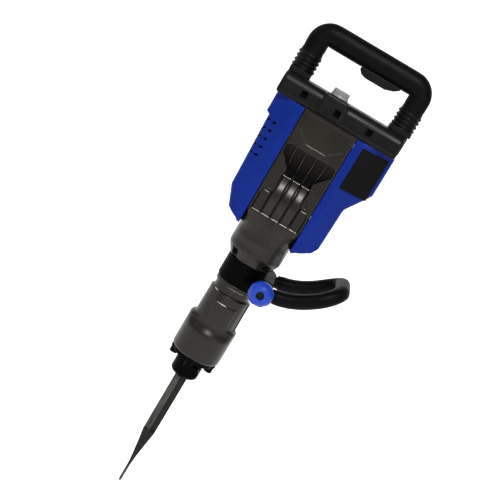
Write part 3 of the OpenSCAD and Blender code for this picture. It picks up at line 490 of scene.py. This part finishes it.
def make_front_end():
    z = np.arange(CAP_TOP + 0.05, BARREL_TOP, 0.8)
    barrel = loft("barrel_fine", radial_rings(z, barrel_radius, 320))
    place(barrel, "barrel")
    centres = np.array([face.center for face in barrel.data.polygons]) / MM
    x, y, z = centres.T
    # painted highlights: light gray strips on the pad's top edge, the collar's lower edge and the left of the
    # section top
    glint_faces = (np.abs(z - PAD_TOP) < 0.7) & (np.abs(x + 4) < 10)
    glint_faces |= (np.abs(z - COLLAR_Z - 0.6) < 0.9) & (np.abs(x - 6) < 16)
    glint_faces |= (np.abs(z - SECTION_TOP - 0.8) < 0.6) & (np.abs(x + 27) < 3.5)
    barrel.data.materials.append(MATERIALS["cast_painted_highlight"])
    barrel.data.polygons.foreach_set("material_index", (glint_faces & (y < 0)).astype(np.int32))
    z = np.concatenate([np.arange(CAP_Z, CAP_Z + 12, 0.6), np.arange(CAP_Z + 12, CAP_TOP - 24, 2.0),
                        np.arange(CAP_TOP - 24, CAP_TOP, 0.6), [CAP_TOP]])
    place(loft("front_cap_fine", radial_rings(z, cap_radius, 256)), "front_cap")
    for node, width, look in [
            ("tool_sleeve", 1.2, None), ("holder_plate", 1.0, None), ("cap_bolts", 0.8, None),
            ("retainer_pin", 0.7, None), ("barrel_screw", 0.3, "cast_metal"),
            ("clamp_bolt", 0.6, "black_steel"), ("chisel", 0.5, None), ("housing_bolts", 0.5, None),
            ("dust_seal", 0.5, None)]:
        refined(node, width, mat=look)


# ---------- crank housing ----------

BAR_PITCH, BAR_HALF_WIDTH = 19.4, 8.9
LEDGE_Z = 620.5
RECESS = [(-28, 696), (-27, 712), (-49, 737), (-49, 752), (-20, 766), (20, 766), (49, 752), (49, 737),
          (27, 712), (28, 696)]
PANEL = [(-20, 768), (20, 768), (45, 787), (45, BODY_TOP + 8), (-45, BODY_TOP + 8), (-45, 787)]


def bar_height(x, z, centre, knuckle, rise, droop):
    """A flat-topped bar that swells up to its knuckle and curves down into the recess, with steep sides."""
    across = np.clip(1 - np.abs((x - centre) / BAR_HALF_WIDTH) ** 6, 0, 1) ** 0.5
    crest = 2.6 + rise * smoothstep(LEDGE_Z, knuckle, z)
    body = crest - droop * np.maximum(0, z - knuckle) ** 2
    groove = body - 5.5
    return groove + (body - groove) * across


def front_relief(x, z):
    """How far the front face stands out (+) or in (-) from its base plane, in millimetres."""
    relief = 2.6 * smoothstep(LEDGE_Z + 0.3, LEDGE_Z - 0.5, z)
    field = inside([(-48.5, LEDGE_Z), (-48.5, 652), (-41, 668), (-31, 684), (-28, 706), (28, 706), (31, 684),
                    (41, 668), (48.5, 652), (48.5, LEDGE_Z)], x, z, 2.0)
    recess = inside(RECESS, x, z, 3.0)
    ribs = np.zeros_like(x)
    splay = 1 + 0.1 * smoothstep(700, 760, z)
    for centre in (-28.5, -9.5, 9.5, 28.5):
        ribs = np.maximum(ribs, smoothstep(1.5, 0.6, np.abs(x - centre * splay)))
    floor = 3.0 + 9.5 * smoothstep(764, 704, z)
    relief = relief - recess * (floor - (floor - 1.8) * 0.8 * ribs)
    relief = relief - field * (1 - recess) * 3.0
    for i in range(-2, 3):
        outer = abs(i) == 2
        knuckle, top, rise, droop = (657, 665, 0.2, 0.09) if outer else (655, 698, 3.4, 0.0096)
        bar = bar_height(x, z, i * BAR_PITCH, knuckle, rise, droop)
        over = (np.abs(x - i * BAR_PITCH) < BAR_PITCH / 2) & (z > LEDGE_Z) & (z < top)
        relief = np.where(over, np.maximum(relief, bar) if outer else bar, relief)
    relief = relief + 1.5 * inside(PANEL, x, z, 1.4)
    relief = relief - 0.3 * inside([(-43, 813.4), (43, 813.4), (43, 816.8), (-43, 816.8)], x, z, 3.0)
    return relief


def housing_ring(z, front_n, back_n):
    """Plan section: round at the barrel, square higher up, with the relief in front and bolt notches."""
    lower = fillet([(38, BARREL_TOP), (41.5, BARREL_TOP + 0.01), (HOUSING_HW, BARREL_TOP + 22),
                    (HOUSING_HW, BODY_TOP)], [0, 2, 14, 0], 8)
    radius = float(np.interp(z, lower[:, 1], lower[:, 0]))
    squareness = float(smoothstep(572, 618, z))
    base = -FRONT_Y - 3.0
    corner = 5.0

    def outline(x, reach):
        circle = np.sqrt(np.clip(radius ** 2 - x ** 2, 0, None))
        over_corner = np.clip((np.abs(x) - (radius - corner)) / corner, 0, 1)
        square = reach - corner + corner * np.sqrt(1 - over_corner ** 2)
        return circle + squareness * np.maximum(square - circle, 0)

    x = radius * np.sin(np.linspace(-math.pi / 2, math.pi / 2, front_n))
    fade = smoothstep(radius - 1.0, radius - 6.0, np.abs(x)) * smoothstep(548, 566, z)
    y = -(outline(x, base) + front_relief(x, np.full_like(x, z)) * fade)
    xb = radius * np.sin(np.linspace(math.pi / 2, -math.pi / 2, back_n))[1:-1]
    yb = outline(xb, 57.0)
    px, py = np.concatenate([x, xb]), np.concatenate([y, yb])
    if z < BARREL_TOP + 18.5:
        reach = np.hypot(px, py)
        beside = reach * np.abs(np.sin(np.arctan2(np.abs(py), np.abs(px)) - math.pi / 4))
        cut = smoothstep(8.6, 7.6, beside)
        scale = 1 - cut * (1 - np.minimum(38.5 / reach, 1))
        px, py = px * scale, py * scale
    return np.stack([px, py, np.full(front_n + back_n - 2, z)], 1)


def make_housing():
    z = np.concatenate([np.arange(BARREL_TOP, BARREL_TOP + 18, 1.5), [BARREL_TOP + 18.4, BARREL_TOP + 18.6],
                        np.arange(BARREL_TOP + 20, 616, 1.6), np.arange(616, 626, 0.5),
                        np.arange(626, BODY_TOP, 0.95), [BODY_TOP]])
    body = loft("crank_housing_fine", [housing_ring(v, 230, 90) for v in z], angle=50)
    place(body, "crank_housing")
    body.data.materials.append(MATERIALS["cast_painted_shade"])
    body.data.materials.append(MATERIALS["cast_painted_highlight"])
    x, y, z = np.array([face.center for face in body.data.polygons]).T / MM
    # painted shade: faces deep in the front recess take the near-black second material
    recess_shade_faces = (inside(RECESS, x, z, 0.5) > 0.5) & (y > FRONT_Y + 6.5) & (y < 0)
    on_bar = np.abs((x + BAR_PITCH / 2) % BAR_PITCH - BAR_PITCH / 2) < 7.2
    # painted highlights: light gray strips at each bar's foot on the ledge, on the middle bars' tops and
    # along the recess's top lip
    glint_faces = on_bar & (np.abs(z - LEDGE_Z + 0.4) < 0.8) & (np.abs(x) < 46)
    glint_faces |= on_bar & (np.abs(z - 697.6) < 0.8) & (np.abs(x) < 27)
    glint_faces |= (np.abs(z - 767) < 0.7) & (np.abs(x) < 19)
    glint_faces &= y < FRONT_Y + 18
    body.data.polygons.foreach_set("material_index", np.where(glint_faces, 2, recess_shade_faces).astype(np.int32))


# ---------- blue shells ----------

INNER_X = HOUSING_HW + 0.3
SLOPE_X = 68.0
SLOPE = 0.56
SHELL_FRONT_Y = -54.0
BEHIND_HOUSING_Y = 58.4
WALL = 3.0


def shell_ring(reach, z, inset, base_z):
    """Plan section of a shell whose side stands at reach, for the right side; the left one is mirrored."""
    lift = 8.0
    tuck = lift - math.sqrt(max(0.0, lift ** 2 - max(0.0, base_z + lift - z) ** 2))
    front = SHELL_FRONT_Y + tuck + inset
    back = BACK_Y - inset - tuck
    knee = min(SLOPE_X, reach - 5.0)
    side_front = front + max(0.0, reach - knee) * SLOPE
    x_in = INNER_X if not inset else INNER_X - 6
    x_back = 42.3 if not inset else 36.0
    corners = [(x_in, front), (knee, front), (reach - inset, side_front), (reach - inset, back),
               (x_back, back), (x_back, BEHIND_HOUSING_Y), (x_in, BEHIND_HOUSING_Y)]
    line = fillet(corners, [1.0, 22, 13 - inset, 26 - inset, 1.0, 0, 0], 7)
    return np.stack([line[:, 0], line[:, 1], np.full(len(line), z)], 1)


def shell_body(name, outline, side, inset, base_z, top_z):
    """Closed body over an outline of (reach, z) points; side is -1 for the left shell and 1 for the right."""
    rings = [shell_ring(x, z, inset, base_z) * np.array([side, 1, 1]) for x, z in outline]
    rings[0][:, 2] = base_z
    rings[-1][:, 2] = top_z
    return loft(name, rings)


def make_shell(side):
    if side < 0:
        corners = [(60, SHELL_Z), (64, SHELL_Z + 6), (86, 597), (102.5, 635), (LEFT_X - 7.3, 778.5),
                   (LEFT_X - 0.3, 781.5), (LEFT_X - 0.3, BODY_TOP - 0.4)]
        radii = [0, 3, 8, 7, 2.5, 2.5, 0]
    else:
        corners = [(60, SHELL_Z), (64, SHELL_Z + 5), (90, 598), (98, 611), (100, 697), (128, 736),
                   (RIGHT_X, 744), (RIGHT_X, BODY_TOP - 0.4)]
        radii = [0, 3, 7, 12, 14, 6, 4, 0]
    outline = refine_line(fillet(corners, radii, 6), 7.0)
    name = "left_shell" if side < 0 else "right_shell"
    body = shell_body(name + "_fine", outline, side, 0.0, SHELL_Z, BODY_TOP - 0.4)
    hollow = outline[outline[:, 1] > SHELL_Z + 5]
    cutters = [shell_body("hollow", hollow, side, WALL, SHELL_Z + WALL, BODY_TOP + 4)]
    for z in (640, 800):
        cutters.append(revolve("screw_seat", [(5.0, 0), (5.0, 8)], (side * 62.5, BACK_Y + 2, z), "Y", 32))
    cutters += left_vents() if side < 0 else right_vents()
    boolean(body, cutters)
    place(body, name)


def left_vents():
    """Two columns of slanted slots over the front corner, and one column round the side."""
    cutters = []
    turn = Matrix.Rotation(math.radians(-14), 3, "Y")
    for i in range(5):
        z = 704 + i * 16.5
        for x, depth in ((-104, 44), (-91, 25)):
            cutters.append(block((x - 5.4, -62, z - 2.2), (x + 5.4, -62 + depth, z + 2.2), turn, 1.2))
        cutters.append(block((-LEFT_X - 8, -12, z - 3), (-LEFT_X + 14, 30, z + 3), bevel=1.4))
    return cutters


def right_vents():
    """One column of four slots on the side of the bulge."""
    cutters = []
    for i in range(4):
        z = 752.6 + i * 14.1
        cutters.append(block((RIGHT_X - 9.3, 5.2, z), (RIGHT_X + 6.3, 40.3, z + 6.3), bevel=1.37))
    return cutters


# ---------- top cover and dial ----------

COVER_TOP = high("handle_sockets").z - 13
DIAL_X, DIAL_Y = -12, -28


def cover_ring(x, shrink):
    """Cross section of the cover in (y, z), drawn in by shrink towards its ends."""
    front, back, top, foot = -47 + shrink, 62 - shrink, COVER_TOP - shrink, BODY_TOP + shrink
    corners = [(front - 1.4, foot), (front - 1.4, foot + 5), (front, foot + 6.2), (front, top),
               (back, top), (back, foot)]
    line = fillet(corners, [1.0, 0.6, 0.8, 27, 27, 2], 9)
    return np.stack([np.full(len(line), float(x)), line[:, 0], line[:, 1]], 1)


def make_top_cover():
    r = 6.0
    left, right = COVER_LEFT, 129.0
    rounding = [(r * (1 - math.cos(a)), r * (1 - math.sin(a))) for a in np.radians(range(0, 91, 18))]
    stations = [(left + inward, shrink) for inward, shrink in rounding]
    stations += [(x, 0.0) for x in np.linspace(left + r + 2, right - r - 2, 30)]
    stations += [(right - inward, shrink) for inward, shrink in reversed(rounding)]
    cover = loft("top_cover_fine", [cover_ring(x, shrink * 0.8) for x, shrink in stations])
    additions = [
        block((-36, -49.5, BODY_TOP + 2), (11, -4, COVER_TOP + 1.5), bevel=5),
        block((LEFT_LEG - 21, -25, BODY_TOP + 8), (LEFT_LEG + 21, 25, COVER_TOP + 1.2), bevel=3),
        block((RIGHT_LEG - 23, -25, BODY_TOP + 8), (RIGHT_LEG + 18, 25, COVER_TOP + 1.2), bevel=3),
    ]
    boolean(cover, additions, "UNION")
    cutters = [block((x - 6.3, -62, 834.7), (x + 6.3, -38.2, 847.3), bevel=1.2) for x in (-68, 0, 66)]
    cutters += [block((26 + i * 5.5, -26, 850), (29 + i * 5.5, -6, COVER_TOP + 6), bevel=0.8)
                for i in range(5)]
    cutters.append(revolve("dial_seat", [(18.4, 0), (18.4, 3)], (DIAL_X, DIAL_Y, COVER_TOP + 0.4), "Z", 64))
    boolean(cover, cutters)
    place(cover, "top_cover")
    for node, width in [("handle_sockets", 2.5), ("top_cover_screws", 0.4), ("cord_gland", 0.5)]:
        refined(node, width, 3)


def make_dial():
    """Two-tier speed dial: a smooth skirt, and a fluted crown with a pointer groove."""
    base = low("speed_dial").z + 12

    def flutes(angle, height):
        return 1.0 if height < 5.4 else 1.0 + 0.035 * math.cos(angle * 20)

    profile = [(4, -12), (4, 0), (16.2, 0), (17, 0.8), (17, 4.2), (16.4, 5.0), (15.2, 5.4), (15.2, 5.6),
               (15, 12.6), (14, 13.8), (10.5, 14), (10, 13.2), (0.5, 13.2)]
    dial = revolve("speed_dial_fine", profile, (DIAL_X, DIAL_Y, base), "Z", 192, flutes)
    groove = block((-13, -43.5, base + 12.6), (-11, -33, base + 16), bevel=0.3)
    boolean(dial, [groove])
    place(dial, "speed_dial")


# ---------- rear handle ----------

def handle_path():
    """Middle line of the handle in (x, z), from the left leg over the grip to the right leg."""
    corners = [(LEFT_LEG, LEG_Z), (LEFT_LEG, GRIP_Z), (RIGHT_LEG, GRIP_Z), (RIGHT_LEG, LEG_Z)]
    return refine_line(fillet(corners, [0, 32, 45, 0], 14), 4.0)


def handle_half_rings(side):
    """Half sections of the grip: a rounded oval, thinner at its legs, cut flat at the parting line."""
    path = handle_path()
    along = directions(path)
    outward = np.stack([-along[:, 1], along[:, 0]], 1)
    half = np.radians(np.linspace(-90, 90, 25))
    gap = 0.25
    rings = []
    for p, o, end in zip(path, outward, from_ends(path)):
        swell = 0.94 + 0.06 * float(smoothstep(25, 70, end))
        lip = 1.0 - 0.035 * math.exp(-((end - 9.0) / 1.6) ** 2)
        r = GRIP_R * swell * lip
        depth = r * 0.97
        groove = 0.9 * np.exp(-(np.abs(np.abs(half) - math.pi / 2) / 0.045) ** 2)
        u = np.sign(np.sin(half)) * np.abs(np.sin(half)) ** 0.95 * (r - groove)
        v = np.cos(half) ** 0.95 * (depth - gap) + gap
        rings.append([(p[0] + o[0] * a, side * b, p[1] + o[1] * a) for a, b in zip(u, v)])
    return rings


def make_rear_handle():
    for side, node in ((-1, "handle_front_half"), (1, "handle_rear_half")):
        half = loft(node + "_fine", handle_half_rings(side), angle=45)
        cutters = [block((low("trigger").x - 0.6, -9.6, GRIP_Z - 44),
                         (high("trigger").x + 0.6, 9.6, GRIP_Z - 8), bevel=1.0)]
        for x in (LEFT_LEG, RIGHT_LEG):
            cutters.append(revolve("rod_hole", [(8.3, -3), (8.3, 18)], (x, 0, LEG_Z), "Z", 32))
        if side > 0:
            cutters += [revolve("screw_seat", [(3.9, 0), (3.9, 14)], (x, GRIP_R + 5.4, z), "Y", 32)
                        for x, z in [(-48, GRIP_Z + 12), (30, GRIP_Z + 12), (88, GRIP_Z - 14)]]
        boolean(half, cutters)
        smooth(half, 45)
        place(half, node, mat="grip_rubber")
    refined("handle_screws", 0.3)
    refined("trigger", 2.6, 4)
    refined("handle_springs", 0.1, 1, blend=between_cover_and_handle(0))


def between_cover_and_handle(x):
    """Blend data for a piece that stands on the sockets at x: the machine and rear-handle bodies and the
    piece's two end points.
    """
    return "machine", "rear_handle", (x * MM, 0, (SOCKET_TOP + 3) * MM), (x * MM, 0, (LEG_Z - 2.2) * MM)


def make_bellows(node, centre):
    """Rubber bellows with four round folds, from the socket up to the handle's leg."""
    folds, wall = 4, 2.2
    z0, z1 = SOCKET_TOP, LEG_Z - 0.2
    t = np.linspace(0, 1, 81)
    wave = 0.5 - 0.5 * np.cos(2 * math.pi * folds * t)
    outer = 20.6 + 2.9 * wave ** 0.8
    cuffs = smoothstep(0.06, 0.0, t) + smoothstep(0.94, 1.0, t)
    outer = outer * (1 - cuffs) + 22.4 * cuffs
    z = z0 + (z1 - z0) * t
    profile = [(r, h) for r, h in zip(outer, z)] + [(r - wall, h) for r, h in zip(outer[::-1], z[::-1])]
    angles = np.arange(72) * 2 * math.pi / 72
    rings = [[(centre + r * math.cos(a), r * math.sin(a), h) for a in angles] for r, h in profile]
    rings.append(rings[0])
    obj = loft(node + "_fine", rings, caps=False, angle=60)
    place(obj, node, blend=between_cover_and_handle(centre))


# ---------- side handle ----------

def make_knob():
    """Domed clamp knob with shallow scallops, a ring step and a dark socket in the middle."""
    length = KNOB_BACK - KNOB_FRONT

    def scallops(angle, height):
        w = float(smoothstep(3, 7, height) * smoothstep(length, length - 7, height))
        return 1.0 - 0.035 * w * (0.5 + 0.5 * math.cos(8 * angle)) ** 1.5

    face, socket = length * 0.965, length * 0.8
    corners = [(5.2, 0), (14, 0), (14, 3), (KNOB_R - 1, 4), (KNOB_R, length * 0.62), (17.5, face),
               (15, face), (13.6, length), (7.8, length), (7.4, socket), (0.5, socket)]
    profile = fillet(corners, [0, 0.6, 0.8, 4, 9, 2, 0.8, 1.0, 0.8, 0.4, 0], 6)
    knob = revolve("clamp_knob_fine", profile, (CLAMP_X, KNOB_BACK, CLAMP_Z), "Y", 160, scallops, 40)
    place(knob, "clamp_knob")
    knob.data.materials.append(MATERIALS["black_plastic"])
    for polygon in knob.data.polygons:
        x, y, z = polygon.center / MM
        if math.hypot(x - CLAMP_X, z - CLAMP_Z) < 7.7 and y < KNOB_FRONT + length * 0.3:
            polygon.material_index = 1


ARM_R = 14.5
LOOP_REACH = high("side_handle_grip").x - ARM_R - CLAMP_X
LOOP_BEND = 30.0
ARM_Y = high("side_handle_grip").y - ARM_R
ARM_START = 19.0
LOOP_SLOPE, LOOP_BOW = 0.1, 0.0045
SECTION_TILT = math.radians(25)


def bow(u):
    """Height of the loop over the clamp bolt at a distance u from it."""
    return LOOP_SLOPE * u + LOOP_BOW * np.maximum(0, u - ARM_START) ** 2


def loop_path(start):
    """Middle line of the side handle's loop, from one arm over the far bar to the other arm."""
    plan = fillet([(start, -ARM_Y), (LOOP_REACH, -ARM_Y), (LOOP_REACH, ARM_Y), (start, ARM_Y)],
                  [0, LOOP_BEND, LOOP_BEND, 0], 12)
    plan = refine_line(plan, 4.0)
    return np.array([(CLAMP_X + u, y, CLAMP_Z + bow(u)) for u, y in plan])


def make_side_handle():
    path = loop_path(ARM_START - 1.6)
    plane = np.array([-math.sin(SECTION_TILT), 0, math.cos(SECTION_TILT)])
    angles = np.radians(np.arange(0, 360, 9))
    rings = []
    for p, t, end in zip(path, directions(path), from_ends(path)):
        up = plane - (plane @ t) * t
        up /= np.linalg.norm(up)
        out = np.cross(up, t)
        r = ARM_R - 1.4 * float(smoothstep(9, 6, end)) + 0.5 * float(smoothstep(2.5, 0, end))
        r -= 0.5 * math.exp(-((end - 9.5) / 1.2) ** 2)
        c, w = np.cos(angles), np.sin(angles)
        u = np.sign(c) * np.abs(c) ** 0.86 * r
        v = np.sign(w) * np.abs(w) ** 0.86 * r * 0.98
        rings.append(p + u[:, None] * out + v[:, None] * up)
    grip = loft("side_handle_grip_fine", rings, angle=50)
    place(grip, "side_handle_grip", mat="grip_rubber")
    refined("side_handle_frame", 1.6, 3, mat="black_steel")
    refined("clamp_band", 1.4, 3, mat="black_steel")


# ---------- scene ----------

def make_stage():
    """White floor that curves up into a backdrop behind the object."""
    floor_back, radius, wall_top, half_width = 5.0, 2.5, 9.0, 14.0
    profile = [(-14.0, 0.0), (floor_back, 0.0)]
    profile += [(floor_back + radius * math.sin(a), radius * (1 - math.cos(a)))
                for a in np.radians(range(5, 91, 5))]
    profile.append((floor_back + radius, wall_top))
    points = [(x, y, z) for y, z in profile for x in (-half_width, half_width)]
    faces = [(2 * i, 2 * i + 1, 2 * i + 3, 2 * i + 2) for i in range(len(profile) - 1)]
    mesh = bpy.data.meshes.new("floor")
    mesh.from_pydata(points, [], faces)
    floor = smooth(new_object("floor", mesh), 40)
    mat = bpy.data.materials.new("floor_white")
    mat.use_nodes = True
    shader = mat.node_tree.nodes["Principled BSDF"]
    shader.inputs["Base Color"].default_value = (0.9, 0.9, 0.9, 1)
    shader.inputs["Roughness"].default_value = 0.9
    shader.inputs["Emission Color"].default_value = (1, 1, 1, 1)
    shader.inputs["Emission Strength"].default_value = 0.75
    floor.data.materials.append(mat)


def area_light(name, place_at, target, size, power, colour=(1, 1, 1)):
    data = bpy.data.lights.new(name, "AREA")
    data.shape = "RECTANGLE"
    data.size, data.size_y = size
    data.energy = power
    data.color = colour
    light = bpy.data.objects.new(name, data)
    bpy.context.scene.collection.objects.link(light)
    light.location = place_at
    light.rotation_euler = (Vector(target) - Vector(place_at)).to_track_quat("-Z", "Y").to_euler()


def make_lights():
    world = bpy.data.worlds.new("studio")
    bpy.context.scene.world = world
    bpy.context.scene.view_settings.view_transform = "Standard"
    world.use_nodes = True
    background = world.node_tree.nodes["Background"]
    background.inputs["Color"].default_value = (1.0, 1.0, 1.0, 1)
    background.inputs["Strength"].default_value = 0.3
    target = (0.0, 0.0, 0.6)
    area_light("key", (0.15, -1.9, 2.3), target, (0.5, 0.5), 85)
    area_light("fill", (1.9, -1.6, 0.9), target, (0.8, 0.8), 10)
    area_light("rim", (-1.7, -0.2, 1.9), target, (0.5, 1.0), 9)


def make_camera():
    """Looks at the front from a little above; the tool leans to the right in the picture."""
    lens, raised, lean, distance = 68.4, math.radians(12.5), math.radians(30.7), 1.80
    target = Vector((-0.010, 0.0, 0.537))
    back = Vector((0, -math.cos(raised), math.sin(raised)))
    data = bpy.data.cameras.new("camera")
    data.lens = lens
    data.sensor_width = 36.0
    camera = bpy.data.objects.new("camera", data)
    bpy.context.scene.collection.objects.link(camera)
    look = (-back).to_track_quat("-Z", "Y").to_matrix()
    turned = look @ Matrix.Rotation(lean, 3, "Z")
    camera.matrix_world = Matrix.Translation(target + back * distance) @ turned.to_4x4()
    bpy.context.scene.camera = camera


make_camera()
MATERIALS = make_materials()
for cad_node, cad_object in frame["nodes"].items():
    cad_object.data.materials.clear()
    cad_object.data.materials.append(MATERIALS[NODE_SLOT[cad_node]])
make_front_end()
make_housing()
make_shell(-1)
make_shell(1)
refined("name_plate", 0.5, 3)
make_top_cover()
make_dial()
make_rear_handle()
make_bellows("left_bellows", LEFT_LEG)
make_bellows("right_bellows", RIGHT_LEG)
make_knob()
make_side_handle()
refined("rear_cover", 0.9, 3)
refined("shell_screws", 0.4)
make_stage()
make_lights()
